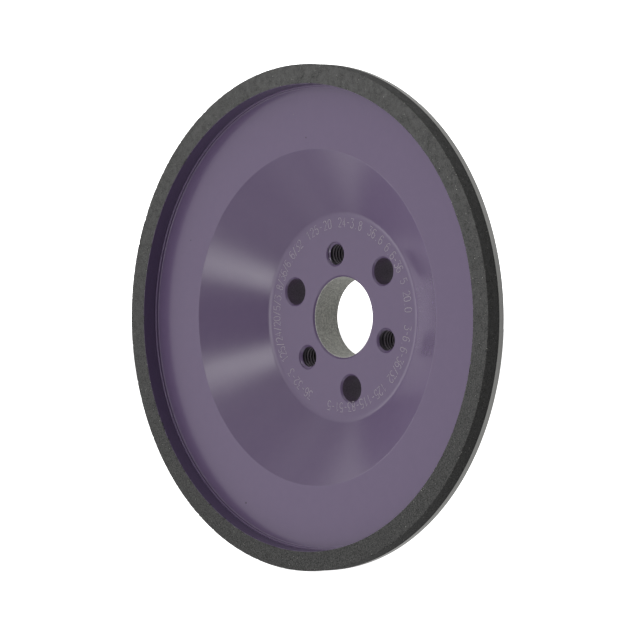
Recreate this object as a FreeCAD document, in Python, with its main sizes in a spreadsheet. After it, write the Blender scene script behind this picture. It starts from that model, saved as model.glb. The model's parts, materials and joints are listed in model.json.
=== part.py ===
"""Dish-shaped grinding wheel, 12A2 style: a turned steel carrier with an abrasive ring bonded to its rim.

The wheel stands upright and spins about Y.  Its origin is the centre of the bore on the rear
mounting face, and everything else lies in front of that face, at negative Y.
A "station" is a position along Y; a "radius" is a distance from the spin axis.
"""
import FreeCAD, Part
import math
import os
import Sketcher

# ---------------------------------------------------------------- driving dimensions, millimetres
SIZES = [
    ("wheel_diameter", 125.0),
    ("overall_height", 24.0),
    # abrasive ring and the film that holds it
    ("ring_width", 5.0),
    ("ring_depth", 3.8),
    ("ring_edge_radius", 0.15),
    ("film_thickness", 0.1),
    # rim of the carrier
    ("bare_band_width", 1.55),
    ("seat_land_width", 0.5),
    ("dish_floor_depth", 4.6),
    ("dish_corner_radius", 0.3),
    ("rim_back_diameter", 115.0),
    ("rim_back_depth", 9.2),
    ("rim_back_radius", 1.0),
    # cone between the rim and the hub
    ("cone_outer_diameter", 83.4),
    ("cone_inner_diameter", 51.2),
    ("cone_lip_radius", 0.4),
    ("back_cone_diameter", 87.6),
    ("back_lip_radius", 2.5),
    # hub
    ("hub_face_depth", 15.0),
    ("hub_root_radius", 3.0),
    ("boss_diameter", 56.0),
    ("boss_height", 5.0),
    ("boss_root_radius", 2.0),
    ("boss_chamfer", 0.8),
    ("bore_diameter", 20.0),
    ("bore_front_chamfer", 0.5),
    ("bore_rear_chamfer", 0.65),
    # three plain holes for the clamping screws
    ("bolt_circle", 36.0),
    ("bolt_hole_diameter", 6.6),
    ("bolt_hole_mouth", 7.4),
    ("first_bolt_angle", 39.0),
    # three tapped M6 holes for the jacking screws that push the wheel off its flange
    ("jacking_circle", 32.0),
    ("tap_drill_diameter", 5.0),
    ("jacking_hole_mouth", 6.2),
    ("first_jacking_angle", 99.0),
    # both rings of holes
    ("hole_count", 3),
    ("mouth_angle", 90.0),
    ("hole_rear_chamfer", 0.3),
]
FULL_TURN = 360
SAME_PLACE = 1e-6
# where undimensioned outlines are first drawn, before their dimensions place them
DRAFT_RADIUS = 40
DRAFT_STATION = -20
DRAFT_SIZE = 10

doc = FreeCAD.newDocument("grinding_wheel")


def make_sheet():
    sheet = doc.addObject("Spreadsheet::Sheet", "sizes")
    for row, (alias, value) in enumerate(SIZES, start=1):
        sheet.set(f"A{row}", alias)
        sheet.set(f"B{row}", str(value))
        sheet.setAlias(f"B{row}", alias)
    doc.recompute()
    return sheet


# ---------------------------------------------------------------- sketches
def origin_feature(body, role):
    return next(item for item in body.Origin.OriginFeatures if item.Role == role)


def new_sketch(body, name, plane_role):
    sketch = body.newObject("Sketcher::SketchObject", name)
    sketch.AttachmentSupport = [(origin_feature(body, plane_role), "")]
    sketch.MapMode = "FlatFace"
    return sketch


def bind(sketch, constraint, name, formula):
    """Adds a dimension to the sketch and binds it to the sheet."""
    index = sketch.addConstraint(constraint)
    sketch.renameConstraint(index, name)
    sketch.setExpression(f"Constraints.{name}", formula)


def draw_half_section(body, corners):
    """Closed outline on the XY plane.  Each corner is (name, radius formula, station formula).

    The corners start on a small circle, and their dimensions then pull them into place.
    """
    sketch = new_sketch(body, "half_section", "XY_Plane")
    count = len(corners)
    start = []
    for index in range(count):
        turn = 2 * math.pi * index / count
        start.append(FreeCAD.Vector(
            DRAFT_RADIUS + DRAFT_SIZE * math.cos(turn), DRAFT_STATION - DRAFT_SIZE * math.sin(turn), 0))
    for index in range(count):
        sketch.addGeometry(Part.LineSegment(start[index], start[(index + 1) % count]), False)
    for index in range(count):
        sketch.addConstraint(Sketcher.Constraint("Coincident", index, 2, (index + 1) % count, 1))
    for index, (name, radius, station) in enumerate(corners):
        across = Sketcher.Constraint("DistanceX", -1, 1, index, 1, start[index].x)
        bind(sketch, across, f"{name}_radius", radius)
        if station is None:
            sketch.addConstraint(Sketcher.Constraint("PointOnObject", index, 1, -1))
        else:
            along = Sketcher.Constraint("DistanceY", -1, 1, index, 1, start[index].y)
            bind(sketch, along, f"{name}_station", station)
    return sketch


def revolve(body, name, sketch):
    turned = body.newObject("PartDesign::Revolution", name)
    turned.Profile = sketch
    turned.ReferenceAxis = (sketch, ["V_Axis"])
    turned.Angle = FULL_TURN
    doc.recompute()
    return turned


# ---------------------------------------------------------------- dress-up features
def circular_edges(shape, radius, station):
    """Names of the edges that are circles about the spin axis at this radius and station."""
    names = []
    for index, edge in enumerate(shape.Edges, start=1):
        if not isinstance(edge.Curve, Part.Circle):
            continue
        centre = edge.Curve.Center
        on_axis = math.hypot(centre.x, centre.z) < SAME_PLACE
        if on_axis and abs(centre.y - station) < SAME_PLACE and abs(edge.Curve.Radius - radius) < SAME_PLACE:
            names.append(f"Edge{index}")
    return names


def dress_edge(body, kind, name, radius, station, size_alias):
    """Fillet or chamfer on one circular edge, its size bound to the sheet."""
    base = body.Tip
    edges = circular_edges(base.Shape, radius, station)
    if not edges:
        raise RuntimeError(f"{name}: no circular edge at radius {radius}, station {station}")
    feature = body.newObject(f"PartDesign::{kind}", name)
    feature.Base = (base, edges)
    size_name = "Radius" if kind == "Fillet" else "Size"
    feature.setExpression(size_name, f"sizes.{size_alias}")
    doc.recompute()
    return feature


# ---------------------------------------------------------------- holes
def drill_ring_of_holes(body, name, circle, first_angle, diameter, mouth, threaded):
    """One countersunk through hole, drilled backwards from the hub's front face, then repeated."""
    sketch = new_sketch(body, f"{name}_centre", "XZ_Plane")
    sketch.setExpression("AttachmentOffset.Base.z", "sizes.overall_height - sizes.hub_face_depth")
    draft_centre = FreeCAD.Vector(DRAFT_SIZE, DRAFT_SIZE, 0)
    sketch.addGeometry(Part.Circle(draft_centre, FreeCAD.Vector(0, 0, 1), DRAFT_SIZE / 3), False)
    across = Sketcher.Constraint("DistanceX", -1, 1, 0, 3, DRAFT_SIZE)
    bind(sketch, across, "centre_x", f"sizes.{circle} / 2 * cos(sizes.{first_angle})")
    upward = Sketcher.Constraint("DistanceY", -1, 1, 0, 3, DRAFT_SIZE)
    bind(sketch, upward, "centre_z", f"sizes.{circle} / 2 * sin(sizes.{first_angle})")
    size = Sketcher.Constraint("Diameter", 0, DRAFT_SIZE * 2 / 3)
    bind(sketch, size, "drill", f"sizes.{diameter}")
    doc.recompute()

    before = body.Shape.Volume
    hole = body.newObject("PartDesign::Hole", name)
    hole.Profile = sketch
    doc.recompute()
    hole.DepthType = "ThroughAll"
    hole.Threaded = threaded
    if threaded:
        hole.ThreadType = "ISOMetricProfile"
        hole.ThreadSize = "M6x1.0"
    hole.setExpression("Diameter", f"sizes.{diameter}")
    hole.HoleCutType = "Countersink"
    hole.HoleCutCustomValues = True
    hole.setExpression("HoleCutDiameter", f"sizes.{mouth}")
    hole.setExpression("HoleCutCountersinkAngle", "sizes.mouth_angle")
    doc.recompute()
    removed = before - body.Shape.Volume
    if removed <= 0:
        raise RuntimeError(f"{name}: the hole points away from the hub")

    pattern = body.newObject("PartDesign::PolarPattern", f"{name}_ring")
    pattern.Originals = [hole]
    pattern.Axis = (origin_feature(body, "Y_Axis"), [""])
    pattern.Angle = FULL_TURN
    pattern.setExpression("Occurrences", "sizes.hole_count")
    body.Tip = pattern
    doc.recompute()
    return removed


# ---------------------------------------------------------------- pieces
def make_wheel_body(size):
    """The carrier: one steel turning, with the hub sunk behind the rim by a cone."""
    body = doc.addObject("PartDesign::Body", "wheel_body")
    body.Label = "wheel_body"
    front = "-(sizes.overall_height"
    seat = f"{front} - sizes.ring_depth - sizes.film_thickness)"
    band_end = f"{front} - sizes.ring_depth - sizes.film_thickness - sizes.bare_band_width)"
    dish_floor = f"{front} - sizes.dish_floor_depth)"
    rim_back = f"{front} - sizes.rim_back_depth)"
    hub_face = f"{front} - sizes.hub_face_depth)"
    land = "sizes.wheel_diameter / 2 - sizes.ring_width - sizes.seat_land_width"
    corners = [
        ("bore_rear", "sizes.bore_diameter / 2", None),
        ("boss_rear", "sizes.boss_diameter / 2", None),
        ("boss_root", "sizes.boss_diameter / 2", "-sizes.boss_height"),
        ("back_lip", "sizes.back_cone_diameter / 2", rim_back),
        ("rim_back", "sizes.rim_back_diameter / 2", rim_back),
        ("band_rear", "sizes.wheel_diameter / 2", band_end),
        ("seat_outer", "sizes.wheel_diameter / 2", seat),
        ("seat_inner", land, seat),
        ("dish_corner", land, dish_floor),
        ("cone_lip", "sizes.cone_outer_diameter / 2", dish_floor),
        ("hub_root", "sizes.cone_inner_diameter / 2", hub_face),
        ("bore_front", "sizes.bore_diameter / 2", hub_face),
    ]
    sketch = draw_half_section(body, corners)
    revolve(body, "turned_blank", sketch)

    floor_station = size["dish_floor_depth"] - size["overall_height"]
    back_station = size["rim_back_depth"] - size["overall_height"]
    hub_station = size["hub_face_depth"] - size["overall_height"]
    land_radius = size["wheel_diameter"] / 2 - size["ring_width"] - size["seat_land_width"]
    bore_radius = size["bore_diameter"] / 2
    boss_radius = size["boss_diameter"] / 2
    # kind, name, radius, station, size
    dressings = [
        ("Fillet", "hub_root_fillet", size["cone_inner_diameter"] / 2, hub_station, "hub_root_radius"),
        ("Fillet", "cone_lip_fillet", size["cone_outer_diameter"] / 2, floor_station, "cone_lip_radius"),
        ("Fillet", "dish_corner_fillet", land_radius, floor_station, "dish_corner_radius"),
        ("Fillet", "rim_back_fillet", size["rim_back_diameter"] / 2, back_station, "rim_back_radius"),
        ("Fillet", "back_lip_fillet", size["back_cone_diameter"] / 2, back_station, "back_lip_radius"),
        ("Fillet", "boss_root_fillet", boss_radius, -size["boss_height"], "boss_root_radius"),
        ("Chamfer", "boss_edge_chamfer", boss_radius, 0.0, "boss_chamfer"),
        ("Chamfer", "bore_rear_bevel", bore_radius, 0.0, "bore_rear_chamfer"),
        ("Chamfer", "bore_front_bevel", bore_radius, hub_station, "bore_front_chamfer"),
    ]
    for kind, name, radius, station, alias in dressings:
        dress_edge(body, kind, name, radius, station, alias)

    drill_ring_of_holes(
        body, "bolt_hole", "bolt_circle", "first_bolt_angle",
        "bolt_hole_diameter", "bolt_hole_mouth", False)
    drill_ring_of_holes(
        body, "jacking_hole", "jacking_circle", "first_jacking_angle",
        "tap_drill_diameter", "jacking_hole_mouth", True)
    break_rear_hole_edges(body, size)
    return body


def break_rear_hole_edges(body, size):
    """Small chamfers where the six holes leave the mounting face."""
    base = body.Tip
    edges = []
    for index, edge in enumerate(base.Shape.Edges, start=1):
        if not isinstance(edge.Curve, Part.Circle):
            continue
        centre = edge.Curve.Center
        off_axis = math.hypot(centre.x, centre.z) > size["bore_diameter"] / 2
        if off_axis and abs(centre.y) < SAME_PLACE:
            edges.append(f"Edge{index}")
    if len(edges) != 2 * size["hole_count"]:
        raise RuntimeError(f"expected six hole edges on the mounting face, found {len(edges)}")
    bevel = body.newObject("PartDesign::Chamfer", "rear_hole_bevels")
    bevel.Base = (base, edges)
    bevel.setExpression("Size", "sizes.hole_rear_chamfer")
    doc.recompute()


def make_adhesive_film():
    """Thin cured film between the carrier's seat and the abrasive ring."""
    body = doc.addObject("PartDesign::Body", "adhesive_film")
    body.Label = "adhesive_film"
    sketch = new_sketch(body, "film_outline", "XZ_Plane")
    radii = {
        "outer": "sizes.wheel_diameter / 2",
        "inner": "sizes.wheel_diameter / 2 - sizes.ring_width",
    }
    for index, (name, formula) in enumerate(radii.items()):
        draft_radius = DRAFT_RADIUS - DRAFT_SIZE * index
        circle = Part.Circle(FreeCAD.Vector(0, 0, 0), FreeCAD.Vector(0, 0, 1), draft_radius)
        sketch.addGeometry(circle, False)
        sketch.addConstraint(Sketcher.Constraint("Coincident", index, 3, -1, 1))
        bind(sketch, Sketcher.Constraint("Radius", index, draft_radius), name, formula)
    film = body.newObject("PartDesign::Pad", "film")
    film.Profile = sketch
    film.setExpression("Length", "sizes.film_thickness")
    seat = "-(sizes.overall_height - sizes.ring_depth - sizes.film_thickness)"
    body.setExpression("Placement.Base.y", seat)
    doc.recompute()
    return body


def make_abrasive_ring(size):
    """The grinding layer: a plain ring with its edges worn just round."""
    body = doc.addObject("PartDesign::Body", "abrasive_ring")
    body.Label = "abrasive_ring"
    inner = "sizes.wheel_diameter / 2 - sizes.ring_width"
    outer = "sizes.wheel_diameter / 2"
    corners = [
        ("back_inner", inner, None),
        ("back_outer", outer, None),
        ("face_outer", outer, "-sizes.ring_depth"),
        ("face_inner", inner, "-sizes.ring_depth"),
    ]
    sketch = draw_half_section(body, corners)
    revolve(body, "pressed_ring", sketch)
    outer_radius = size["wheel_diameter"] / 2
    inner_radius = outer_radius - size["ring_width"]
    for name, radius in (("outer_edge_wear", outer_radius), ("inner_edge_wear", inner_radius)):
        dress_edge(body, "Fillet", name, radius, -size["ring_depth"], "ring_edge_radius")
    body.setExpression("Placement.Base.y", "-(sizes.overall_height - sizes.ring_depth)")
    doc.recompute()
    return body


# ---------------------------------------------------------------- checks and export
def check_document():
    for item in doc.Objects:
        for bad in ("Invalid", "Error"):
            if bad in item.State:
                raise RuntimeError(f"{item.Name} is {item.State}")


def export(body):
    shape = body.Shape
    if shape.isNull() or not shape.isValid():
        raise RuntimeError(f"{body.Label} has no valid shape")
    if len(shape.Solids) != 1:
        raise RuntimeError(f"{body.Label} holds {len(shape.Solids)} solids")
    shape.exportStep(os.path.join("parts", f"{body.Label}.step"))
    box = shape.BoundBox
    print(f"{body.Label}: {shape.Volume:.1f} mm3, radius {box.XMax:.3f}, Y {box.YMin:.3f} to {box.YMax:.3f}")


os.makedirs("parts", exist_ok=True)
make_sheet()
dimensions = dict(SIZES)
pieces = [
    make_wheel_body(dimensions),
    make_adhesive_film(),
    make_abrasive_ring(dimensions),
]
doc.recompute()
check_document()
for piece in pieces:
    export(piece)
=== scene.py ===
"""Looks of the dish grinding wheel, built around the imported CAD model.

The wheel stands upright and spins about Y, with its abrasive face towards -Y.  Pieces are drawn
in millimetres as (radius, station) about the spin axis and stored in metres.
"""
import bmesh
import bpy
import json
import math
from mathutils import Matrix, Vector


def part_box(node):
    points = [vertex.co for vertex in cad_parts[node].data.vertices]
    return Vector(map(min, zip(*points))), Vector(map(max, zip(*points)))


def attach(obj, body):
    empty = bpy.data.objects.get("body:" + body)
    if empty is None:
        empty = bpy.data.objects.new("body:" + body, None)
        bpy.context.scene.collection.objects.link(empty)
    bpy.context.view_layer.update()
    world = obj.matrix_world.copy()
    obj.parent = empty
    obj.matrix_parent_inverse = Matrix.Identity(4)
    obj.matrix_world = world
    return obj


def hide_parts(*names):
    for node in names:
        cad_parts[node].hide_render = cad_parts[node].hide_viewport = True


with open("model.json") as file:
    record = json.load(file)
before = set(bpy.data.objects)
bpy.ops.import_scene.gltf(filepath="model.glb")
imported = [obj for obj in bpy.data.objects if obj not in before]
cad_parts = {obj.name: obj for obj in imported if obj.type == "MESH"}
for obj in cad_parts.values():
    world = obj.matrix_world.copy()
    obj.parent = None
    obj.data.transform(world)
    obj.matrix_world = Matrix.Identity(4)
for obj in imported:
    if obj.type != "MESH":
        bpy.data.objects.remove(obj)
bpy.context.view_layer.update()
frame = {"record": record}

# ---------------------------------------------------------------- sizes, millimetres
METRE = 1000.0
mounts = {mount["name"]: mount for mount in frame["record"]["mounts"]}
ring_low, ring_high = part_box("abrasive_ring")
film_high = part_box("adhesive_film")[1]

OUTER_RADIUS = ring_high.x * METRE
FRONT = ring_low.y * METRE
RING_BACK = ring_high.y * METRE
SEAT = film_high.y * METRE
HUB_FACE = mounts["hub_front_face"]["pos_m"][1] * METRE
BORE_RADIUS = mounts["bore"]["dims"]["r_mm"]
BOLT_CIRCLE = mounts["bolt_holes"]["dims"]["pcd_mm"]
BOLT_HOLE_RADIUS = mounts["bolt_holes"]["dims"]["hole_r_mm"]
JACKING_THREADS = [name for name in mounts if name.startswith("jacking_thread")]

RING_WIDTH = 5.0
RING_INNER = OUTER_RADIUS - RING_WIDTH
BARE_BAND_WIDTH = 1.55
SEAT_LAND_RADIUS = RING_INNER - 0.5
DISH_FLOOR = FRONT + 4.6
RIM_BACK = FRONT + 9.2
RIM_BACK_RADIUS = 57.5
RIM_BACK_FILLET = 1.0
SEAT_EDGE_FILLET = 0.15
DISH_CORNER_FILLET = 0.25
CONE_OUTER = 41.7
CONE_LIP_FILLET = 0.4
CONE_INNER = 25.6
HUB_ROOT_FILLET = 3.0
HUB_FLAT_RADIUS = CONE_INNER - 2.0
BACK_CONE = 43.8
BACK_LIP_FILLET = 2.5
BOSS_RADIUS = 28.0
BOSS_HEIGHT = 5.0
BOSS_ROOT_FILLET = 2.0
BOSS_CHAMFER = 0.8
BORE_FRONT_CHAMFER = 0.5
BARE_CHAMFER = 0.12  # the inner part of the front chamfer, where no lacquer holds
BORE_REAR_CHAMFER = 0.65
BOLT_MOUTH_RADIUS = 3.7
FIRST_BOLT_ANGLE = math.radians(39.0)
THREAD_RADIUS = 3.0
THREAD_PITCH = 1.0
# the thread's profile, as shares of its pitch
THREAD_DEPTH = 0.5413
CREST_FLAT = 0.25
ROOT_FLAT = 0.125
THREAD_MINOR_RADIUS = THREAD_RADIUS - THREAD_DEPTH * THREAD_PITCH
THREAD_MOUTH_RADIUS = 3.15
THREAD_START_STEP = 0.37  # turns between the starts of one thread and the next
MOUTH_OVERLAP = 0.04
LACQUER_RUN = 0.2  # how far lacquer runs into a thread past its mouth
CREST_START = 0.9  # depth at which the painted highlight on the crests begins
CREST_FADE = 0.8
HOLE_COUNT = 3
REAR_HOLE_CHAMFER = 0.3

MARKING_RADIUS = 23.1
MARKING_CENTRE = (-0.4, 0.6)
MARKING_HEIGHT = 2.3
MARKING_STRETCH = 1.8  # scale of the figures across; MARKING_HEIGHT is their scale upwards

TURNING_SEGMENTS = 384
BORE_SEGMENTS = 192
RING_SEGMENTS = 1320
RING_ROW = 0.22
HOLE_SEGMENTS = 72
THREAD_ROWS_PER_TURN = 14
PLAIN_HOLE_ROWS = 6
RING_FILLET_STEPS = 0.06  # per degree
EDGE_ROW = 0.1  # a narrow row beside a chamfer, which keeps smooth shading off it
FILLET_LEAD = 0.06  # the same beside a fillet
SHARP_ANGLE = 25.0  # degrees
SAME_PLACE = 0.01


# ---------------------------------------------------------------- outlines
def rounded(corners, steps_per_degree=0.25):
    """Points of an open outline.  Each corner is (radius, station, fillet radius)."""
    points = [Vector(corners[0][:2])]
    for before, here, after in zip(corners, corners[1:], corners[2:]):
        corner = Vector(here[:2])
        arrive = (corner - Vector(before[:2])).normalized()
        leave = (Vector(after[:2]) - corner).normalized()
        if here[2] == 0:
            points.append(corner)
            continue
        turn = arrive.angle_signed(leave)
        tangent = here[2] * math.tan(abs(turn) / 2)
        start = corner - arrive * tangent
        side = Vector((-arrive.y, arrive.x)) * (-1 if turn > 0 else 1)
        centre = start + side * here[2]
        steps = max(3, round(math.degrees(abs(turn)) * steps_per_degree))
        points.append(start - arrive * FILLET_LEAD)
        for step in range(steps + 1):
            angle = -turn * step / steps
            spoke = start - centre
            turned = Vector((
                spoke.x * math.cos(angle) - spoke.y * math.sin(angle),
                spoke.x * math.sin(angle) + spoke.y * math.cos(angle)))
            points.append(centre + turned)
        points.append(centre + turned + leave * FILLET_LEAD)
    points.append(Vector(corners[-1][:2]))
    return points


def on_wheel(radius, angle, station):
    return Vector((radius * math.cos(angle), station, radius * math.sin(angle)))


# ---------------------------------------------------------------- the carrier
class Carrier:
    """One closed mesh: turned surfaces, two flat hub faces and seven holes between them."""

    def __init__(self):
        self.mesh = bmesh.new()
        self.crest = self.mesh.verts.layers.float.new("crest")

    def ring(self, radius, station, segments):
        step = 2 * math.pi / segments
        return [self.mesh.verts.new(on_wheel(radius, index * step, station)) for index in range(segments)]

    def join(self, ring_a, ring_b, material):
        count = len(ring_a)
        for index in range(count):
            after = (index + 1) % count
            face = self.mesh.faces.new((ring_a[index], ring_a[after], ring_b[after], ring_b[index]))
            face.material_index = material
            face.smooth = True

    def turned(self, points, segments, materials):
        """A turned surface through the points.  materials[i] is the slot of the strip after point i."""
        rings = [self.ring(point.x, point.y, segments) for point in points]
        for index, (ring_a, ring_b) in enumerate(zip(rings, rings[1:])):
            self.join(ring_a, ring_b, materials(points[index], points[index + 1]))
        return rings[0], rings[-1]

    def hole(self, centre, stations, segments, radius_at, material_at):
        """The wall of an off-centre hole, from the hub's front face to its rear face.

        Its vertices carry crest: 1 on a thread's crest, 0 at its root, in its mouth and in a plain hole.
        """
        rows = []
        for station in stations:
            row = []
            for index in range(segments):
                angle = 2 * math.pi * index / segments
                radius = radius_at(angle, station)
                vert = self.mesh.verts.new(
                    centre + Vector((radius * math.cos(angle), station, radius * math.sin(angle))))
                height = (THREAD_RADIUS - radius) / (THREAD_RADIUS - THREAD_MINOR_RADIUS)
                # the painted highlight on the crests fades in below the lacquered mouth
                crest_sheen = (station - HUB_FACE - CREST_START) / CREST_FADE
                vert[self.crest] = min(max(height, 0.0), 1.0) * min(max(crest_sheen, 0.0), 1.0)
                row.append(vert)
            rows.append(row)
        for row_a, row_b, station in zip(rows, rows[1:], stations):
            self.join(row_a, row_b, material_at(station))
        return rows[0], rows[-1]

    def flat(self, loops, material):
        """A flat face bounded by the loops: the outside and each hole."""
        edges = []
        for loop in loops:
            for vert_a, vert_b in zip(loop, loop[1:] + loop[:1]):
                edge = self.mesh.edges.get((vert_a, vert_b)) or self.mesh.edges.new((vert_a, vert_b))
                edges.append(edge)
        filled = bmesh.ops.triangle_fill(self.mesh, use_beauty=True, use_dissolve=False, edges=edges)
        for item in filled["geom"]:
            if isinstance(item, bmesh.types.BMFace):
                item.material_index = material
                item.smooth = True


LACQUER, BARE, BORE, HOLE, THREAD = range(5)


def band_finish(start, end):
    """The periphery is ground bare after lacquering; the rest of the turned outline is lacquered."""
    on_periphery = min(start.x, end.x) > OUTER_RADIUS - SAME_PLACE
    return BARE if on_periphery else LACQUER


def thread_radius(angle, station, phase):
    """Radius of a right-hand M6 internal thread: 60 degree flanks, flat crest and root."""
    turn = (station / THREAD_PITCH - angle / (2 * math.pi) + phase) % 1.0
    off_crest = abs(turn - 0.5) * 2
    depth = min(max((off_crest - CREST_FLAT) / (1 - CREST_FLAT - ROOT_FLAT), 0.0), 1.0)
    return THREAD_MINOR_RADIUS + (THREAD_RADIUS - THREAD_MINOR_RADIUS) * depth


def evenly(start, end, count):
    return [start + (end - start) * index / count for index in range(count + 1)]


def build_carrier():
    carrier = Carrier()
    outline = [
        (BOSS_RADIUS - BOSS_CHAMFER, 0.0, 0),
        (BOSS_RADIUS, -BOSS_CHAMFER, 0),
        (BOSS_RADIUS, -BOSS_HEIGHT, BOSS_ROOT_FILLET),
        (BACK_CONE, RIM_BACK, BACK_LIP_FILLET),
        (RIM_BACK_RADIUS, RIM_BACK, RIM_BACK_FILLET),
        (OUTER_RADIUS, SEAT + BARE_BAND_WIDTH, 0),
        (OUTER_RADIUS, SEAT, 0),
        (SEAT_LAND_RADIUS, SEAT, SEAT_EDGE_FILLET),
        (SEAT_LAND_RADIUS, DISH_FLOOR, DISH_CORNER_FILLET),
        (CONE_OUTER, DISH_FLOOR, CONE_LIP_FILLET),
        (CONE_INNER, HUB_FACE, HUB_ROOT_FILLET),
        (HUB_FLAT_RADIUS, HUB_FACE, 0),
    ]
    rear_edge, hub_edge = carrier.turned(rounded(outline), TURNING_SEGMENTS, band_finish)
    bore = [
        Vector((BORE_RADIUS + BORE_FRONT_CHAMFER + EDGE_ROW, HUB_FACE)),
        Vector((BORE_RADIUS + BORE_FRONT_CHAMFER, HUB_FACE)),
        Vector((BORE_RADIUS + BARE_CHAMFER, HUB_FACE + BORE_FRONT_CHAMFER - BARE_CHAMFER)),
        Vector((BORE_RADIUS, HUB_FACE + BORE_FRONT_CHAMFER)),
        Vector((BORE_RADIUS, -BORE_REAR_CHAMFER)),
        Vector((BORE_RADIUS + BORE_REAR_CHAMFER, 0.0)),
    ]
    bore_front, bore_rear = carrier.turned(
        bore, BORE_SEGMENTS,
        lambda start, end: LACQUER if start.y < HUB_FACE + SAME_PLACE else BORE)

    front_loops = [hub_edge, bore_front]
    rear_loops = [rear_edge, bore_rear]

    chamfer = BOLT_MOUTH_RADIUS - BOLT_HOLE_RADIUS
    stations = [HUB_FACE, HUB_FACE + chamfer] + evenly(
        HUB_FACE + chamfer + EDGE_ROW, -REAR_HOLE_CHAMFER - EDGE_ROW,
        PLAIN_HOLE_ROWS) + [-REAR_HOLE_CHAMFER, 0.0]

    def plain_radius(angle, station):
        front = BOLT_MOUTH_RADIUS - (station - HUB_FACE)
        rear = BOLT_HOLE_RADIUS + REAR_HOLE_CHAMFER + station
        return max(BOLT_HOLE_RADIUS, front, rear)

    for index in range(HOLE_COUNT):
        angle = FIRST_BOLT_ANGLE + index * 2 * math.pi / HOLE_COUNT
        centre = on_wheel(BOLT_CIRCLE / 2, angle, 0.0)
        front, rear = carrier.hole(
            centre, stations, HOLE_SEGMENTS, plain_radius,
            lambda station: LACQUER if station < HUB_FACE + chamfer / 2 else HOLE)
        front_loops.append(front)
        rear_loops.append(rear)

    lacquer_depth = THREAD_MOUTH_RADIUS - THREAD_MINOR_RADIUS - MOUTH_OVERLAP + LACQUER_RUN
    depth = -HUB_FACE
    rows = evenly(HUB_FACE, 0.0, round(depth / THREAD_PITCH * THREAD_ROWS_PER_TURN))
    for index, name in enumerate(JACKING_THREADS):
        place = mounts[name]["pos_m"]
        centre = Vector((place[0] * METRE, 0.0, place[2] * METRE))

        def threaded_radius(angle, station, phase=index * THREAD_START_STEP):
            front = THREAD_MOUTH_RADIUS - (station - HUB_FACE)
            rear = THREAD_MOUTH_RADIUS + station
            return max(thread_radius(angle, station, phase), front, rear)

        front, rear = carrier.hole(
            centre, rows, HOLE_SEGMENTS, threaded_radius,
            lambda station: LACQUER if station < HUB_FACE + lacquer_depth else THREAD)
        front_loops.append(front)
        rear_loops.append(rear)

    carrier.flat(front_loops, LACQUER)
    carrier.flat(rear_loops, BARE)
    bmesh.ops.recalc_face_normals(carrier.mesh, faces=carrier.mesh.faces)
    return finish_mesh(carrier.mesh, "wheel_carrier")


def finish_mesh(mesh, name):
    """Stores a bmesh drawn in millimetres as an object in metres, with creases kept sharp."""
    bmesh.ops.scale(mesh, vec=(1 / METRE, 1 / METRE, 1 / METRE), verts=mesh.verts)
    data = bpy.data.meshes.new(name)
    mesh.to_mesh(data)
    mesh.free()
    data.set_sharp_from_angle(angle=math.radians(SHARP_ANGLE))
    piece = bpy.data.objects.new(name, data)
    bpy.context.scene.collection.objects.link(piece)
    return piece


def build_ring(name, inner, outer, front, back, edge, segments, row):
    """A plain ring, closed, with its front edges rounded and rows no wider than row.

    Its vertices carry two measures: skin, 1 off the glued back, and edge, 1 at the front corners
    and 0 at four edge radii from the inner one and two from the outer one.
    """
    outline = [
        (inner, back, 0),
        (inner, front, edge),
        (outer, front, edge),
        (outer, back, 0),
    ]
    corners = rounded(outline, RING_FILLET_STEPS)
    points = []
    for start, end in zip(corners, corners[1:]):
        rows = max(1, math.ceil((end - start).length / row))
        points += [start.lerp(end, step / rows) for step in range(rows)]
    points.append(corners[-1])
    mesh = bmesh.new()
    skin = mesh.verts.layers.float.new("skin")
    edge_layer = mesh.verts.layers.float.new("edge")
    step = 2 * math.pi / segments
    rings = []
    for point in points:
        near_inner = math.hypot(point.x - inner, point.y - front)
        near_outer = math.hypot(point.x - outer, point.y - front)
        closeness = max(0.0, 1 - min(near_inner, near_outer * 2) / (4 * edge))
        verts = [mesh.verts.new(on_wheel(point.x, index * step, point.y)) for index in range(segments)]
        for vert in verts:
            vert[skin] = 0.0 if point in (points[0], points[-1]) else 1.0
            vert[edge_layer] = closeness
        rings.append(verts)
    for ring_a, ring_b in zip(rings, rings[1:] + rings[:1]):
        for index in range(segments):
            after = (index + 1) % segments
            face = mesh.faces.new((ring_a[index], ring_a[after], ring_b[after], ring_b[index]))
            face.smooth = True
    bmesh.ops.recalc_face_normals(mesh, faces=mesh.faces)
    data = bpy.data.meshes.new(name)
    mesh.to_mesh(data)
    mesh.free()
    piece = bpy.data.objects.new(name, data)
    bpy.context.scene.collection.objects.link(piece)
    return piece


# ---------------------------------------------------------------- Geometry Nodes
class Tree:
    """A node tree under construction: adds nodes, and links or sets their inputs in one call."""

    def __init__(self, tree):
        self.tree = tree

    def add(self, kind, inputs=None, **settings):
        node = self.tree.nodes.new(kind)
        for key, value in settings.items():
            setattr(node, key, value)
        for key, value in (inputs or {}).items():
            self.feed(node.inputs[key], value)
        return node

    def feed(self, socket, value):
        if isinstance(value, bpy.types.NodeSocket):
            self.tree.links.new(value, socket)
        elif isinstance(value, bpy.types.Node):
            self.tree.links.new(next(out for out in value.outputs if out.enabled), socket)
        else:
            socket.default_value = value

    def math(self, operation, *values, clamp=False):
        node = self.tree.nodes.new("ShaderNodeMath")
        node.operation = operation
        node.use_clamp = clamp
        for socket, value in zip(node.inputs, values):
            self.feed(socket, value)
        return node.outputs[0]

    def vector(self, operation, *values, **named):
        node = self.tree.nodes.new("ShaderNodeVectorMath")
        node.operation = operation
        for socket, value in zip(node.inputs, values):
            self.feed(socket, value)
        for key, value in named.items():
            self.feed(node.inputs[key], value)
        return node.outputs["Value"] if operation in ("DOT_PRODUCT", "LENGTH") else node.outputs["Vector"]


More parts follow.
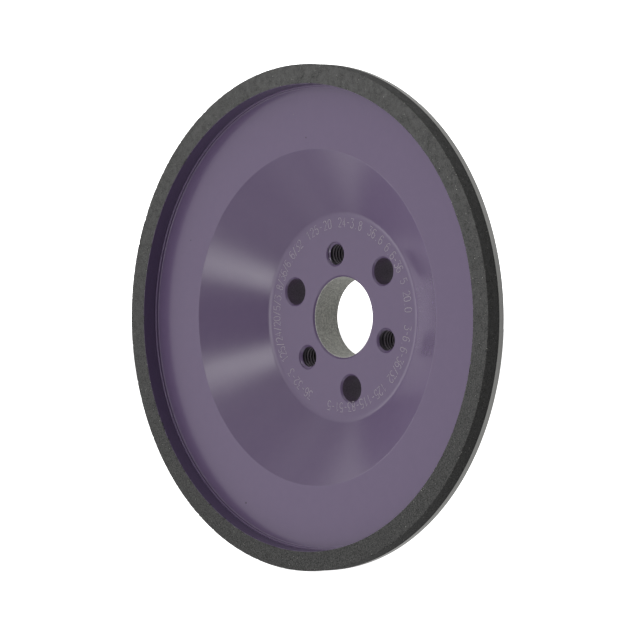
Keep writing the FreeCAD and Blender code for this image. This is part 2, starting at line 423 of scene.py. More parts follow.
def geometry_tree(name, **sizes):
    """An empty Geometry Nodes tree with one named float input for each size."""
    group = bpy.data.node_groups.new(name, "GeometryNodeTree")
    group.interface.new_socket("Geometry", in_out="INPUT", socket_type="NodeSocketGeometry")
    group.interface.new_socket("Geometry", in_out="OUTPUT", socket_type="NodeSocketGeometry")
    for size, value in sizes.items():
        kind = "NodeSocketInt" if isinstance(value, int) else "NodeSocketFloat"
        socket = group.interface.new_socket(size, in_out="INPUT", socket_type=kind)
        socket.default_value = value
    tree = Tree(group)
    given = tree.add("NodeGroupInput")
    result = tree.add("NodeGroupOutput")
    return tree, given, result


def made_by(tree, source, name, material, **sizes):
    """The plain mesh, in metres, that a Geometry Nodes tree makes from the source, with its sizes set."""
    modifier = source.modifiers.new(tree.tree.name, "NODES")
    modifier.node_group = tree.tree
    for item in tree.tree.interface.items_tree:
        if item.item_type == "SOCKET" and item.in_out == "INPUT" and item.name in sizes:
            modifier[item.identifier] = sizes[item.name]
    evaluated = source.evaluated_get(bpy.context.evaluated_depsgraph_get())
    data = bpy.data.meshes.new_from_object(evaluated)
    source.modifiers.remove(modifier)
    data.transform(Matrix.Scale(1 / METRE, 4))
    data.name = name
    data.materials.clear()
    data.materials.append(material)
    piece = bpy.data.objects.new(name, data)
    bpy.context.scene.collection.objects.link(piece)
    return piece


CHIP_THRESHOLD = 0.54
CHIP_STEEPNESS = 7.0
ANY_TURN = (6.3, 6.3, 6.3)
GRAIN_SCALES = (0.6, 1.2)


def worn_bond_tree():
    """Dressed bond: the skin is let down everywhere, with a fine grain, and chipped along its corners."""
    tree, given, result = geometry_tree("worn_bond", **{
        "Let Down": 0.05, "Relief": 0.05, "Grain Size": 0.4, "Chip Depth": 0.45, "Chip Length": 0.9})
    place = tree.add("GeometryNodeInputPosition")
    skin = tree.add("GeometryNodeInputNamedAttribute", {"Name": "skin"}, data_type="FLOAT")
    edge = tree.add("GeometryNodeInputNamedAttribute", {"Name": "edge"}, data_type="FLOAT")
    grain = tree.add("ShaderNodeTexNoise", {
        "Vector": place, "Scale": tree.math("DIVIDE", 1.0, given.outputs["Grain Size"]), "Detail": 2.0})
    chips = tree.add("ShaderNodeTexNoise", {
        "Vector": place, "Scale": tree.math("DIVIDE", 1.0, given.outputs["Chip Length"]), "Detail": 3.0,
        "Roughness": 0.65})
    chipped = tree.math(
        "MULTIPLY", tree.math("SUBTRACT", chips.outputs[0], CHIP_THRESHOLD), CHIP_STEEPNESS, clamp=True)
    chip_depth = tree.math("MULTIPLY", tree.math("MULTIPLY", chipped, edge.outputs[0]),
                           given.outputs["Chip Depth"])
    relief = tree.math("MULTIPLY", grain.outputs[0], given.outputs["Relief"])
    whole_depth = tree.math("ADD", tree.math("ADD", relief, chip_depth), given.outputs["Let Down"])
    depth = tree.math("MULTIPLY", whole_depth, skin.outputs[0])
    inward = tree.vector(
        "SCALE", tree.add("GeometryNodeInputNormal"), Scale=tree.math("MULTIPLY", depth, -1.0))
    moved = tree.add("GeometryNodeSetPosition", {"Geometry": given.outputs["Geometry"], "Offset": inward})
    whole = tree.add("GeometryNodeRealizeInstances", {"Geometry": moved})
    finished = tree.add("GeometryNodeSetMaterial", {"Geometry": whole, "Material": abrasive})
    tree.feed(result.inputs[0], finished)
    return tree


def exposed_grain_tree():
    """Abrasive grains more than half sunk in the bond, and some of them wholly.

    Each is an eight-sided crystal of its own size and tone.
    """
    tree, given, result = geometry_tree("exposed_grain", **{
        "Grains per mm2": 1.8, "Grain Size": 0.24, "Sink": 0.15, "Seed": 3})
    skin = tree.add("GeometryNodeInputNamedAttribute", {"Name": "skin"}, data_type="FLOAT")
    points = tree.add("GeometryNodeDistributePointsOnFaces", {
        "Mesh": given.outputs["Geometry"], "Density": given.outputs["Grains per mm2"],
        "Seed": given.outputs["Seed"],
        "Selection": tree.add("FunctionNodeCompare", {"A": skin.outputs[0], "B": 0.5},
                              data_type="FLOAT", operation="GREATER_THAN")},
        distribute_method="RANDOM")
    sunk = tree.add("GeometryNodeSetPosition", {
        "Geometry": points.outputs["Points"],
        "Offset": tree.vector("SCALE", points.outputs["Normal"],
                              Scale=tree.math("MULTIPLY", given.outputs["Sink"], -1.0))})
    crystal = tree.add("GeometryNodeMeshUVSphere", {
        "Segments": 4, "Rings": 2, "Radius": tree.math("MULTIPLY", given.outputs["Grain Size"], 0.5)})
    turn = tree.add(
        "FunctionNodeRandomValue", {"Max": ANY_TURN, "Seed": 5}, data_type="FLOAT_VECTOR")
    size = tree.add(
        "FunctionNodeRandomValue", {2: GRAIN_SCALES[0], 3: GRAIN_SCALES[1], "Seed": 8},
        data_type="FLOAT")
    grains = tree.add("GeometryNodeInstanceOnPoints", {
        "Points": sunk, "Instance": crystal.outputs["Mesh"], "Rotation": turn.outputs[0]})
    tree.feed(grains.inputs["Scale"], size.outputs[1])
    tone = tree.add("FunctionNodeRandomValue", {2: 0.0, 3: 1.0, "Seed": 13}, data_type="FLOAT")
    toned = tree.add("GeometryNodeStoreNamedAttribute", {
        "Geometry": grains, "Name": "tone", "Value": tone.outputs[1]}, data_type="FLOAT", domain="INSTANCE")
    whole = tree.add("GeometryNodeRealizeInstances", {"Geometry": toned})
    finished = tree.add("GeometryNodeSetMaterial", {"Geometry": whole, "Material": grain_finish})
    tree.feed(result.inputs[0], finished)
    return tree


def marked_stroke_tree():
    """Single-line figures drawn by a marking laser: flat beads that follow the strokes."""
    tree, given, result = geometry_tree("marked_strokes", **{
        "Stroke Width": 0.2, "Bead Height": 0.012, "Face Station": -9.0})
    strokes = tree.add("GeometryNodeMeshToCurve", {"Mesh": given.outputs["Geometry"]})
    bead = tree.add("GeometryNodeCurvePrimitiveCircle", {
        "Resolution": 6, "Radius": tree.math("MULTIPLY", given.outputs["Stroke Width"], 0.5)})
    drawn = tree.add("GeometryNodeCurveToMesh", {
        "Curve": strokes, "Profile Curve": bead.outputs["Curve"], "Fill Caps": True})
    place = tree.add("ShaderNodeSeparateXYZ", {0: tree.add("GeometryNodeInputPosition")})
    above = tree.math("SUBTRACT", place.outputs["Y"], given.outputs["Face Station"])
    flattening = tree.math("DIVIDE", given.outputs["Bead Height"],
                           tree.math("MULTIPLY", given.outputs["Stroke Width"], 0.5))
    lowered = tree.math("ADD", tree.math("MULTIPLY", above, flattening), given.outputs["Face Station"])
    flat = tree.add("GeometryNodeSetPosition", {
        "Geometry": drawn,
        "Position": tree.add("ShaderNodeCombineXYZ", {
            "X": place.outputs["X"], "Y": lowered, "Z": place.outputs["Z"]})})
    whole = tree.add("GeometryNodeRealizeInstances", {"Geometry": flat})
    finished = tree.add("GeometryNodeSetMaterial", {"Geometry": whole, "Material": marking})
    tree.feed(result.inputs[0], finished)
    return tree


# ---------------------------------------------------------------- size figures round the hub
OVAL = ((0, .2), (0, .8), (.15, 1), (.4, 1), (.55, .8), (.55, .2), (.4, 0), (.15, 0), (0, .2))
FIGURES = {
    "0": (OVAL,),
    "1": (((.08, .75), (.32, 1), (.32, 0)),),
    "2": (((0, .8), (.15, 1), (.4, 1), (.55, .8), (.55, .62), (0, 0), (.55, 0)),),
    "3": (((0, 1), (.55, 1), (.25, .6), (.4, .6), (.55, .42), (.55, .18), (.4, 0), (.12, 0), (0, .15)),),
    "4": (((.4, 0), (.4, 1), (0, .3), (.55, .3)),),
    "5": (((.5, 1), (.05, 1), (0, .55), (.38, .62), (.55, .45), (.55, .2), (.4, 0), (.12, 0), (0, .15)),),
    "6": (((.5, .9), (.4, 1), (.15, 1), (0, .8), (0, .2), (.15, 0), (.4, 0), (.55, .2), (.55, .42),
           (.4, .58), (.15, .58), (0, .42)),),
    "7": (((0, 1), (.55, 1), (.2, 0)),),
    "8": (((.15, .55), (0, .75), (.15, 1), (.4, 1), (.55, .75), (.4, .55), (.15, .55), (0, .3), (.15, 0),
           (.4, 0), (.55, .3), (.4, .55)),),
    "-": (((.1, .5), (.45, .5)),),
    "/": (((.05, -.05), (.5, 1.05)),),
    ".": (((.22, 0), (.3, .04)),),
}
FIGURE_WIDTH = 0.55
# The wheel's own sizes, read clockwise: (figures, angle of the first, angle of the last), in
# degrees from +X towards +Z.
SIZE_FIGURES = (
    ("125/24/20/5/3.8/36/6.6/32", 209, 129),
    ("125-20", 120, 100),
    ("24-3.8", 91, 73),
    ("36.6", 64, 53),
    ("6.6-36", 46, 29),
    ("5", 21, 21),
    ("20.0", 13, 3),
    ("3-6.6-36/32", -8, -43),
    ("125-115-83-51-5", -51, -101),
    ("36-32-3", -119, -141),
)


def draw_figures():
    """Polylines, in millimetres, of all the size figures on the hub face."""
    verts, edges = [], []
    for figures, first, last in SIZE_FIGURES:
        for index, figure in enumerate(figures):
            share = index / max(1, len(figures) - 1)
            angle = math.radians(first + (last - first) * share)
            across = Vector((math.sin(angle), -math.cos(angle)))
            upward = Vector((math.cos(angle), math.sin(angle)))
            middle = Vector(MARKING_CENTRE) + upward * MARKING_RADIUS
            for stroke in FIGURES[figure]:
                for count, (x, y) in enumerate(stroke):
                    spot = middle + across * (x - FIGURE_WIDTH / 2) * MARKING_STRETCH
                    spot += upward * (y - 0.5) * MARKING_HEIGHT
                    if count:
                        edges.append((len(verts) - 1, len(verts)))
                    verts.append((spot.x, HUB_FACE, spot.y))
    data = bpy.data.meshes.new("figure_lines")
    data.from_pydata(verts, edges, [])
    lines = bpy.data.objects.new("figure_lines", data)
    bpy.context.scene.collection.objects.link(lines)
    return lines


# ---------------------------------------------------------------- surface effects shared by finishes
def effect(name, inputs, outputs):
    """An empty shader group with named float inputs, and outputs that are floats or vectors."""
    group = bpy.data.node_groups.new(name, "ShaderNodeTree")
    for label, value in inputs.items():
        socket = group.interface.new_socket(label, in_out="INPUT", socket_type="NodeSocketFloat")
        socket.default_value = value
    for label, kind in outputs.items():
        group.interface.new_socket(label, in_out="OUTPUT", socket_type=kind)
    tree = Tree(group)
    given = tree.add("NodeGroupInput")
    result = tree.add("NodeGroupOutput")
    return tree, given, result


def millimetres(tree):
    """The place on the piece in millimetres."""
    place = tree.add("ShaderNodeTexCoord").outputs["Object"]
    return tree.vector("SCALE", place, Scale=METRE)


def make_grain_effect():
    """Even fine mottling.  Value runs 0 to 1 about 0.5; Normal carries the same grain as relief."""
    tree, given, result = effect(
        "fine_grain", {"Size": 0.3, "Detail": 2.0, "Depth": 0.01, "Contrast": 1.0},
        {"Value": "NodeSocketFloat", "Normal": "NodeSocketVector"})
    noise = tree.add("ShaderNodeTexNoise", {
        "Vector": millimetres(tree), "Scale": tree.math("DIVIDE", 1.0, given.outputs["Size"]),
        "Detail": given.outputs["Detail"], "Roughness": 0.6})
    spread = tree.math("MULTIPLY", tree.math("SUBTRACT", noise.outputs[0], 0.5), given.outputs["Contrast"])
    value = tree.math("ADD", spread, 0.5, clamp=True)
    height = tree.math("MULTIPLY", noise.outputs[0], given.outputs["Depth"])
    bump = tree.add("ShaderNodeBump", {"Height": height, "Distance": 1 / METRE})
    tree.feed(result.inputs["Value"], value)
    tree.feed(result.inputs["Normal"], bump)
    return tree.tree


SPECK_REACH = 1.4
SPECK_STEEPNESS = 2.0
BEND_GAIN = 6.0


def make_speck_effect():
    """Scattered round specks.  Mask is 1 inside a speck; only a share of the cells holds one."""
    tree, given, result = effect(
        "specks", {"Spacing": 4.0, "Speck Size": 0.3, "Share": 0.3, "Seed": 0.0},
        {"Mask": "NodeSocketFloat"})
    shifted = tree.vector("ADD", millimetres(tree), tree.add("ShaderNodeCombineXYZ", {
        "X": given.outputs["Seed"], "Y": given.outputs["Seed"], "Z": given.outputs["Seed"]}))
    cells = tree.add("ShaderNodeTexVoronoi", {
        "Vector": shifted, "Scale": tree.math("DIVIDE", 1.0, given.outputs["Spacing"])})
    reach = tree.math("DIVIDE", tree.math("MULTIPLY", given.outputs["Speck Size"], 0.5),
                      given.outputs["Spacing"])
    lot = tree.add("ShaderNodeSeparateColor", {"Color": cells.outputs["Color"]})
    chosen = tree.math("LESS_THAN", lot.outputs["Red"], given.outputs["Share"])
    size = tree.math("MULTIPLY", reach, tree.math("ADD", lot.outputs["Green"], 0.5))
    inside = tree.math("SUBTRACT", SPECK_REACH, tree.math("DIVIDE", cells.outputs["Distance"], size))
    soft = tree.math("MULTIPLY", inside, SPECK_STEEPNESS, clamp=True)
    tree.feed(result.inputs["Mask"], tree.math("MULTIPLY", soft, chosen))
    return tree.tree


def make_turning_effect():
    """Fine tool marks that run round the spin axis, on faces and on cylinders alike."""
    tree, given, result = effect(
        "turning_marks", {"Pitch": 0.1, "Depth": 0.002, "Streaks": 0.5},
        {"Value": "NodeSocketFloat", "Normal": "NodeSocketVector"})
    place = tree.add("ShaderNodeSeparateXYZ", {0: millimetres(tree)})
    squares = tree.math("ADD", tree.math("MULTIPLY", place.outputs["X"], place.outputs["X"]),
                        tree.math("MULTIPLY", place.outputs["Z"], place.outputs["Z"]))
    radius = tree.math("SQRT", squares)
    along = tree.add("ShaderNodeCombineXYZ", {
        "X": tree.math("DIVIDE", tree.math("ADD", radius, place.outputs["Y"]), given.outputs["Pitch"]),
        "Y": tree.math("DIVIDE", tree.math("SUBTRACT", radius, place.outputs["Y"]), given.outputs["Pitch"]),
        "Z": tree.math("ARCTAN2", place.outputs["X"], place.outputs["Z"])})
    lines = tree.add("ShaderNodeTexNoise", {"Vector": along, "Scale": 1.0, "Detail": 1.0})
    value = tree.math("ADD", tree.math("MULTIPLY", tree.math("SUBTRACT", lines.outputs[0], 0.5),
                                       given.outputs["Streaks"]), 0.5, clamp=True)
    height = tree.math("MULTIPLY", lines.outputs[0], given.outputs["Depth"])
    bump = tree.add("ShaderNodeBump", {"Height": height, "Distance": 1 / METRE})
    tree.feed(result.inputs["Value"], value)
    tree.feed(result.inputs["Normal"], bump)
    return tree.tree


def make_edge_effect():
    """Mask is 1 along sharp edges, broken up by a little noise: where a finish is thin and rubbed, and
    where a painted highlight lines the edge.
    """
    tree, given, result = effect(
        "edge_wear_and_highlight", {"Reach": 0.15, "Amount": 1.0}, {"Mask": "NodeSocketFloat"})
    softened = tree.add("ShaderNodeBevel", {
        "Radius": tree.math("DIVIDE", given.outputs["Reach"], METRE)}, samples=6)
    true_normal = tree.add("ShaderNodeNewGeometry").outputs["Normal"]
    bent = tree.math("SUBTRACT", 1.0, tree.vector("DOT_PRODUCT", softened, true_normal))
    patchy = tree.add("ShaderNodeTexNoise", {"Vector": millimetres(tree), "Scale": 1.5, "Detail": 2.0})
    worn = tree.math("MULTIPLY", tree.math("MULTIPLY", bent, BEND_GAIN), patchy.outputs[0])
    tree.feed(result.inputs["Mask"], tree.math("MULTIPLY", worn, given.outputs["Amount"], clamp=True))
    return tree.tree


def make_overspray_effect():
    """Mask is 1 nearer the spin axis than Radius: the wall of the dish, which the lacquer gun reaches."""
    tree, given, result = effect(
        "overspray", {"Radius": 57.5, "Softness": 0.05}, {"Mask": "NodeSocketFloat"})
    place = tree.add("ShaderNodeSeparateXYZ", {0: millimetres(tree)})
    across = tree.add("ShaderNodeCombineXYZ", {"X": place.outputs["X"], "Y": place.outputs["Z"]})
    short = tree.math("SUBTRACT", given.outputs["Radius"], tree.vector("LENGTH", across))
    tree.feed(result.inputs["Mask"], tree.math("DIVIDE", short, given.outputs["Softness"], clamp=True))
    return tree.tree


fine_grain = make_grain_effect()
specks = make_speck_effect()
turning_marks = make_turning_effect()
edge_wear_and_highlight = make_edge_effect()
overspray = make_overspray_effect()


# ---------------------------------------------------------------- finishes
class Finish:
    """A material under construction round its Principled shader."""

    def __init__(self, name, color, roughness, **constants):
        self.material = bpy.data.materials.new(name)
        self.material.use_nodes = True
        self.tree = Tree(self.material.node_tree)
        self.shader = self.material.node_tree.nodes["Principled BSDF"]
        self.color = (*color, 1)
        self.shader.inputs["Base Color"].default_value = self.color
        self.shader.inputs["Roughness"].default_value = roughness
        for key, value in constants.items():
            self.shader.inputs[key.replace("_", " ")].default_value = value

    def use(self, group, **inputs):
        """Places an effect in the material with its own values."""
        node = self.tree.add("ShaderNodeGroup", node_tree=group)
        for key, value in inputs.items():
            node.inputs[key.replace("_", " ")].default_value = value
        return node

    def blend(self, mask, under, over):
        """under where the mask is 0, over where it is 1.  Each is a colour or a socket."""
        node = self.tree.add("ShaderNodeMix", data_type="RGBA")
        self.tree.feed(node.inputs[0], mask)
        for socket, value in ((node.inputs[6], under), (node.inputs[7], over)):
            self.tree.feed(socket, value if isinstance(value, bpy.types.NodeSocket) else (*value, 1))
        return node.outputs[2]

    def between(self, value, low, high):
        """Maps a 0 to 1 value onto low to high."""
        return self.tree.math("ADD", self.tree.math("MULTIPLY", value, high - low), low)

    def set(self, **sockets):
        for key, value in sockets.items():
            self.tree.feed(self.shader.inputs[key.replace("_", " ")], value)
        return self.material


OVERSPRAY = (0.088, 0.063, 0.122)
SPRAY_REACH = RING_INNER + 0.17  # clears the worn skin of the ring's inner wall
SPRAY_EDGE = 0.05
BLACK = (0.0, 0.0, 0.0)


def make_lacquer():
    """Satin lacquer: slight mottling, dark pits, pale nibs, and paler along its edges, where it is thin and
    where a painted highlight lines them.
    """
    finish = Finish("purple_lacquer", (0.105, 0.074, 0.141), 0.21)
    mottle = finish.use(fine_grain, Size=2.2, Detail=3.0, Depth=0.0025, Contrast=1.0)
    pits = finish.use(specks, Spacing=7.0, Speck_Size=0.32, Share=0.3, Seed=11.0)
    nibs = finish.use(specks, Spacing=5.0, Speck_Size=0.22, Share=0.25, Seed=47.0)
    worn_and_lit_edge = finish.use(edge_wear_and_highlight, Reach=0.12, Amount=0.5)
    color = finish.blend(mottle.outputs["Value"], (0.1, 0.07, 0.135), (0.11, 0.078, 0.147))
    color = finish.blend(pits.outputs["Mask"], color, (0.02, 0.015, 0.025))
    color = finish.blend(nibs.outputs["Mask"], color, (0.14, 0.12, 0.16))
    # painted highlight, with thin lacquer: the lacquer is paled along its sharp edges
    color = finish.blend(worn_and_lit_edge.outputs["Mask"], color, (0.18, 0.15, 0.2))
    return finish.set(
        Base_Color=color, Normal=mottle.outputs["Normal"],
        Roughness=finish.between(mottle.outputs["Value"], 0.18, 0.25))


def make_bare_steel():
    """Bare steel with fine turning marks, lighter along its edges, where it is rubbed and where a painted
    highlight lines them.
    """
    finish = Finish("turned_steel", (0.5, 0.5, 0.48), 0.34, Metallic=1.0)
    marks = finish.use(turning_marks, Pitch=0.12, Depth=0.006, Streaks=1.2)
    stain = finish.use(fine_grain, Size=3.0, Detail=4.0, Depth=0.0, Contrast=1.2)
    worn_and_lit_edge = finish.use(edge_wear_and_highlight, Reach=0.15, Amount=0.6)
    color = finish.blend(marks.outputs["Value"], (0.36, 0.36, 0.345), (0.6, 0.6, 0.58))
    # painted highlight, with rubbing: the bare steel is made lighter along its sharp edges
    color = finish.blend(worn_and_lit_edge.outputs["Mask"], color, (0.7, 0.7, 0.68))
    return finish.set(
        Base_Color=color, Normal=marks.outputs["Normal"],
        Roughness=finish.between(stain.outputs["Value"], 0.28, 0.42))


def make_bore_finish():
    """Bare reamed steel, speckled and a little stained."""
    finish = Finish("reamed_bore", (0.18, 0.19, 0.155), 0.6, Metallic=0.35)
    speckle = finish.use(fine_grain, Size=0.45, Detail=4.0, Depth=0.03, Contrast=4.0)
    stain = finish.use(fine_grain, Size=1.6, Detail=3.0, Depth=0.0, Contrast=1.8)
    color = finish.blend(speckle.outputs["Value"], (0.3, 0.3, 0.275), (0.64, 0.64, 0.59))
    shade = finish.tree.math("MULTIPLY", stain.outputs["Value"], 0.5)
    color = finish.blend(shade, color, (0.25, 0.25, 0.235))
    return finish.set(Base_Color=color, Normal=speckle.outputs["Normal"])


def make_hole_finish():
    """A drilled wall under a thin veil of lacquer, kept dark as painted shade inside the hole."""
    finish = Finish("drilled_wall", (0.085, 0.06, 0.095), 0.5)
    speckle = finish.use(fine_grain, Size=0.35, Detail=3.0, Depth=0.015, Contrast=2.4)
    # painted shade: the wall's colours are darkened for the shade inside the hole
    color = finish.blend(speckle.outputs["Value"], (0.06, 0.042, 0.07), (0.13, 0.095, 0.145))
    return finish.set(Base_Color=color, Normal=speckle.outputs["Normal"])


def make_thread_finish():
    """Dark roots and flanks, deepened as painted shade, with a painted highlight along the crests."""
    finish = Finish("tapped_thread", (0.04, 0.033, 0.045), 0.5, Metallic=0.1, Specular_IOR_Level=0.3)
    speckle = finish.use(fine_grain, Size=0.4, Detail=2.0, Depth=0.01, Contrast=1.8)
    crest = finish.tree.add("ShaderNodeAttribute", attribute_name="crest").outputs["Fac"]
    # painted highlight along the crests, over roots kept dark as painted shade
    crest_sheen = finish.tree.math("MULTIPLY", finish.tree.math("POWER", crest, 5.0),
                              finish.between(speckle.outputs["Value"], 0.6, 1.0))
    color = finish.blend(crest_sheen, (0.02, 0.015, 0.023), (0.26, 0.23, 0.265))
    return finish.set(Base_Color=color, Normal=speckle.outputs["Normal"])


def make_abrasive():
    """Fine dark grain with pores, lighter towards the top of the wheel: painted light from above, broken up
    by coarse mottling.
    """
    finish = Finish("bonded_abrasive", (0.05, 0.05, 0.049), 0.85)
    fine = finish.use(fine_grain, Size=0.32, Detail=3.0, Depth=0.045, Contrast=2.8)
    coarse = finish.use(fine_grain, Size=1.3, Detail=2.0, Depth=0.0, Contrast=1.5)
    pores = finish.use(specks, Spacing=1.3, Speck_Size=0.35, Share=0.3, Seed=5.0)
    color = finish.blend(fine.outputs["Value"], BLACK, (0.062, 0.062, 0.06))
    color = finish.blend(pores.outputs["Mask"], color, (0.006, 0.006, 0.006))
    # painted light: the ring's face is made lighter towards the top of the wheel, as if lit from above
    place = finish.tree.add("ShaderNodeSeparateXYZ", {0: millimetres(finish.tree)})
    share = finish.tree.math("DIVIDE", place.outputs["Z"], OUTER_RADIUS * 2)
    upward = finish.tree.math("ADD", share, 0.5)
    painted_top_light = finish.tree.math("MULTIPLY", upward, coarse.outputs["Value"], clamp=True)
    color = finish.blend(painted_top_light, color, (0.088, 0.088, 0.086))
    sprayed = finish.use(overspray, Radius=SPRAY_REACH, Softness=SPRAY_EDGE)
    color = finish.blend(sprayed.outputs["Mask"], color, OVERSPRAY)
    return finish.set(
        Base_Color=color, Normal=fine.outputs["Normal"],
        Roughness=finish.between(sprayed.outputs["Mask"], 0.85, 0.3))


def make_grain_finish():
    """Abrasive crystals.  Most are dark and a few are bright; lacquer covers those on the inner wall."""
    finish = Finish("abrasive_crystal", (0.12, 0.12, 0.11), 0.45)
    tone = finish.tree.add("ShaderNodeAttribute", attribute_name="tone").outputs["Fac"]
    color = finish.blend(finish.tree.math("POWER", tone, 4.0), (0.03, 0.03, 0.029), (0.6, 0.6, 0.55))
    sprayed = finish.use(overspray, Radius=SPRAY_REACH, Softness=SPRAY_EDGE)
    return finish.set(Base_Color=finish.blend(sprayed.outputs["Mask"], color, OVERSPRAY))


def make_adhesive():
    """Dark cured adhesive, lacquered over where it shows inside the dish."""
    finish = Finish("cured_adhesive", (0.04, 0.036, 0.04), 0.55)
    mottle = finish.use(fine_grain, Size=0.8, Detail=2.0, Depth=0.01, Contrast=1.5)
    color = finish.blend(mottle.outputs["Value"], (0.03, 0.028, 0.03), (0.055, 0.05, 0.055))
    sprayed = finish.use(overspray, Radius=SPRAY_REACH, Softness=SPRAY_EDGE)
    color = finish.blend(sprayed.outputs["Mask"], color, OVERSPRAY)
    return finish.set(Base_Color=color, Normal=mottle.outputs["Normal"])


def make_marking():
    """Lacquer paled by a marking laser, uneven along each stroke."""
    finish = Finish("marked_lacquer", (0.25, 0.225, 0.25), 0.5)
    patch = finish.use(fine_grain, Size=0.25, Detail=2.0, Depth=0.01, Contrast=3.0)
    color = finish.blend(patch.outputs["Value"], (0.15, 0.12, 0.17), (0.36, 0.335, 0.35))
    return finish.set(Base_Color=color, Normal=patch.outputs["Normal"])


lacquer = make_lacquer()
bare_steel = make_bare_steel()
bore_finish = make_bore_finish()
hole_finish = make_hole_finish()
thread_finish = make_thread_finish()
abrasive = make_abrasive()
grain_finish = make_grain_finish()
adhesive = make_adhesive()
marking = make_marking()

# ---------------------------------------------------------------- the wheel
carrier_piece = build_carrier()
for material in (lacquer, bare_steel, bore_finish, hole_finish, thread_finish):
    carrier_piece.data.materials.append(material)

plain_ring = build_ring(
    "plain_ring", RING_INNER, OUTER_RADIUS, FRONT, RING_BACK, 0.15, RING_SEGMENTS, RING_ROW)
ring_piece = made_by(worn_bond_tree(), plain_ring, "abrasive_layer", abrasive, **{
    "Let Down": 0.05, "Relief": 0.05, "Grain Size": 0.4, "Chip Depth": 0.45, "Chip Length": 0.9})
grain_piece = made_by(exposed_grain_tree(), plain_ring, "exposed_grains", grain_finish, **{
    "Grains per mm2": 1.8, "Grain Size": 0.24, "Sink": 0.15, "Seed": 3})

film_piece = build_ring(
    "bond_line", RING_INNER, OUTER_RADIUS, RING_BACK, SEAT, 0.02, TURNING_SEGMENTS, 1.0)
film_piece.data.transform(Matrix.Scale(1 / METRE, 4))
film_piece.data.materials.append(adhesive)

figure_lines = draw_figures()
figure_piece = made_by(marked_stroke_tree(), figure_lines, "size_figures", marking, **{
    "Stroke Width": 0.2, "Bead Height": 0.012, "Face Station": HUB_FACE})
for draft in (plain_ring, figure_lines):
    bpy.data.objects.remove(draft)

for piece, nodes, slot in (
        (carrier_piece, ("wheel_body",), "lacquered_steel"),
        (figure_piece, (), "lacquered_steel"),
        (ring_piece, ("abrasive_ring",), "bonded_abrasive"),
        (grain_piece, (), "bonded_abrasive"),
        (film_piece, ("adhesive_film",), "cured_adhesive")):
    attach(piece, "root")
    if nodes:
        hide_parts(*nodes)


# ---------------------------------------------------------------- studio
def add_camera():
    """Long lens, level, 45 degrees round from the wheel's face."""
    azimuth, elevation = math.radians(45.11), math.radians(0.217)
    roll = math.radians(-0.2176)
    aim = Vector((0.0, -17.613, -0.145)) / METRE
    distance = 792.72 / METRE
    back = Vector((
        math.sin(azimuth) * math.cos(elevation),
        -math.cos(azimuth) * math.cos(elevation),
        math.sin(elevation)))
    data = bpy.data.cameras.new("camera")
    data.lens = 181.13
    data.sensor_width = 36.0
    camera = bpy.data.objects.new("camera", data)
    bpy.context.scene.collection.objects.link(camera)
    camera.location = aim + back * distance
    turn = (-back).to_track_quat("-Z", "Y").to_euler()
    camera.rotation_euler = turn
    camera.rotation_euler.rotate_axis("Z", roll)
    bpy.context.scene.camera = camera


def add_softbox(name, azimuth, elevation, width, height, brightness, distance=1.7):
    """A soft panel aimed at the wheel.  Its place and its spread are in degrees seen from the wheel."""
    azimuth, elevation = math.radians(azimuth), math.radians(elevation)
    towards = Vector((
        math.sin(azimuth) * math.cos(elevation),
        -math.cos(azimuth) * math.cos(elevation),
        math.sin(elevation)))
    data = bpy.data.lights.new(name, "AREA")
    data.shape = "RECTANGLE"
    data.size = 2 * distance * math.tan(math.radians(width / 2))
    data.size_y = 2 * distance * math.tan(math.radians(height / 2))
    data.energy = brightness * math.pi * data.size * data.size_y
    light = bpy.data.objects.new(name, data)
    bpy.context.scene.collection.objects.link(light)
    light.location = towards * distance
    light.rotation_euler = (-towards).to_track_quat("-Z", "Y").to_euler()
    light.visible_camera = False


def add_lights():
    """A wide panel before the wheel, one beside it, two bright strips, and dimmer sides and back."""
    add_softbox("wide_panel", -46, 0, 116, 74, 0.58)
    add_softbox("near_panel", -4, 0, 22, 40, 1.8)
    add_softbox("side_panel", -82, 0, 48, 38, 0.75)
    for side, label in ((1, "upper"), (-1, "lower")):
        add_softbox(label + "_strip", 15, 22 * side, 7, 14, 7.2)
        add_softbox(label + "_fill", 15, 40 * side, 24, 24, 0.48)
        add_softbox(label + "_front", 30, 54 * side, 60, 20, 0.43)
        add_softbox(label + "_cover", 0, 89 * side, 80, 80, 0.34)
    add_softbox("back_panel", 195, 0, 110, 90, 0.4)


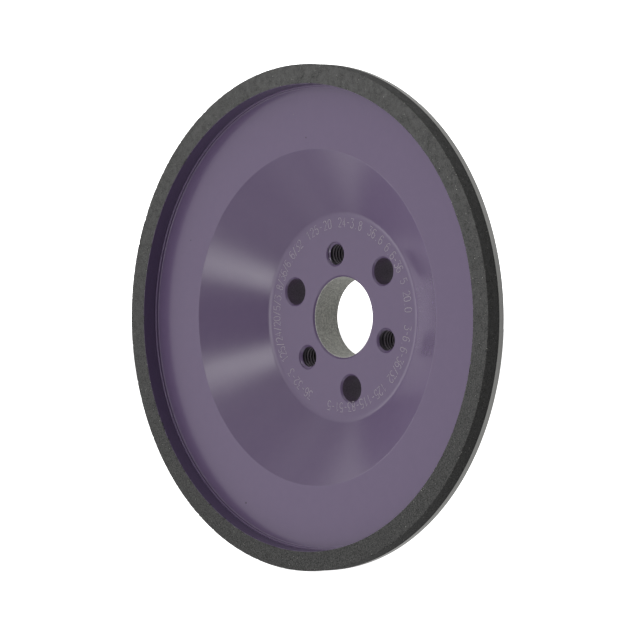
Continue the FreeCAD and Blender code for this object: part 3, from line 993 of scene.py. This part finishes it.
WALL_LIMIT = 0.3
WALL_STEEPNESS = 6.0
SEEN_WHITE = 2.0
FLOOR_HALF_WIDTH = 6.0
FLOOR_GLOW = 0.95


def add_world(dim, bright, azimuth):
    """A dim room with a pale wall round the given azimuth.  The camera itself sees plain white."""
    world = bpy.data.worlds.new("studio")
    world.use_nodes = True
    tree = Tree(world.node_tree)
    direction = tree.add("ShaderNodeTexCoord").outputs["Generated"]
    wall = (math.sin(math.radians(azimuth)), -math.cos(math.radians(azimuth)), 0.0)
    facing = tree.vector("DOT_PRODUCT", direction, wall)
    share = tree.math("MULTIPLY", tree.math("SUBTRACT", facing, WALL_LIMIT), WALL_STEEPNESS, clamp=True)
    strength = tree.math("ADD", tree.math("MULTIPLY", share, bright - dim), dim)
    room = tree.add("ShaderNodeBackground", {"Strength": strength})
    white = tree.add("ShaderNodeBackground", {"Strength": SEEN_WHITE})
    for background in (room, white):
        background.inputs["Color"].default_value = (1, 1, 1, 1)
    seen = tree.add("ShaderNodeLightPath").outputs["Is Camera Ray"]
    mixed = tree.add("ShaderNodeMixShader", {0: seen, 1: room, 2: white})
    tree.feed(world.node_tree.nodes["World Output"].inputs["Surface"], mixed)
    bpy.context.scene.world = world


def add_floor():
    """A white sheet under the wheel.  Only the camera sees it, so light reaches the wheel all round."""
    mesh = bmesh.new()
    bmesh.ops.create_grid(mesh, x_segments=1, y_segments=1, size=FLOOR_HALF_WIDTH)
    for vert in mesh.verts:
        vert.co.z = ring_low.z
    data = bpy.data.meshes.new("studio_floor")
    mesh.to_mesh(data)
    mesh.free()
    floor = bpy.data.objects.new("studio_floor", data)
    bpy.context.scene.collection.objects.link(floor)
    sheet = Finish("white_sheet", (0.9, 0.9, 0.9), 0.9, Emission_Strength=FLOOR_GLOW)
    sheet.shader.inputs["Emission Color"].default_value = (1, 1, 1, 1)
    sheet.material.cycles.emission_sampling = "NONE"
    floor.data.materials.append(sheet.material)
    floor.visible_diffuse = False
    floor.visible_glossy = False
    floor.visible_shadow = False


add_camera()
add_lights()
add_world(dim=0.21, bright=0.58, azimuth=-58)
add_floor()
bpy.context.scene.view_settings.view_transform = "Standard"
